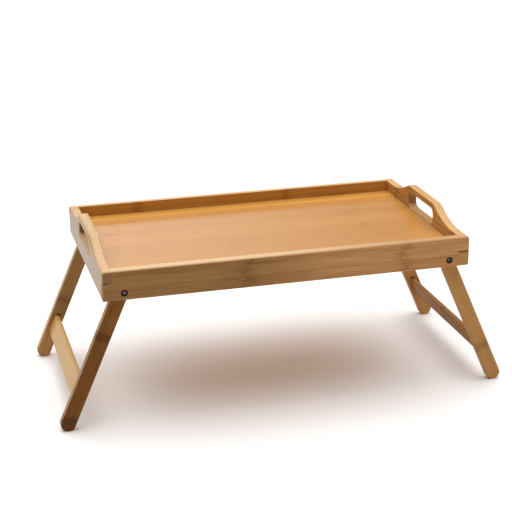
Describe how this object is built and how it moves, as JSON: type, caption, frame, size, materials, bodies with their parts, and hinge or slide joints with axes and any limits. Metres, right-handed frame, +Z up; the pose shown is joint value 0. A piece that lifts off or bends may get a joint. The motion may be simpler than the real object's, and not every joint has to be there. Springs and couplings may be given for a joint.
{
  "type": "folding tray table",
  "caption": "Rectangular bamboo bed tray with rails, raised end grips with hand holes, and two fold-under leg frames.",
  "frame": {"origin": "on the floor under the middle of the tray, with both leg frames open", "axes": "+X along the tray's length to the right, +Y to the back, +Z up"},
  "size_m": [0.6252, 0.3, 0.2414],
  "materials": {
    "bamboo_frame": "clear satin lacquer over laminated bamboo",
    "bamboo_panel": "clear semi-gloss lacquer over laminated bamboo",
    "bamboo_leg": "clear satin lacquer over caramel bamboo",
    "bamboo_stretcher": "clear satin lacquer over natural bamboo",
    "blackened_steel": "blackened, slightly worn on the rim",
    "plated_steel": "zinc plated"
  },
  "bodies": {
    "tray": {"front_rail": "bamboo_frame", "rear_rail": "bamboo_frame", "left_end_board": "bamboo_frame", "right_end_board": "bamboo_frame", "tray_panel": "bamboo_panel", "front_left_bolt": "blackened_steel", "front_right_bolt": "blackened_steel", "rear_left_bolt": "blackened_steel", "rear_right_bolt": "blackened_steel", "front_left_spacer": "plated_steel", "front_right_spacer": "plated_steel", "rear_left_spacer": "plated_steel", "rear_right_spacer": "plated_steel", "front_left_nut": "plated_steel", "front_right_nut": "plated_steel", "rear_left_nut": "plated_steel", "rear_right_nut": "plated_steel"},
    "left_leg_frame": {"front_left_leg": "bamboo_leg", "rear_left_leg": "bamboo_leg", "left_stretcher": "bamboo_stretcher"},
    "right_leg_frame": {"front_right_leg": "bamboo_leg", "rear_right_leg": "bamboo_leg", "right_stretcher": "bamboo_stretcher"}
  },
  "joints": [
    {"name": "left_leg_fold", "type": "hinge", "parent": "tray", "child": "left_leg_frame", "pos_m": [-0.223, 0, 0.19156], "axis": [0, -1, 0], "range_deg": [0, 113.6]},
    {"name": "right_leg_fold", "type": "hinge", "parent": "tray", "child": "right_leg_frame", "pos_m": [0.223, 0, 0.19156], "axis": [0, 1, 0], "range_deg": [0, 113.6]}
  ]
}
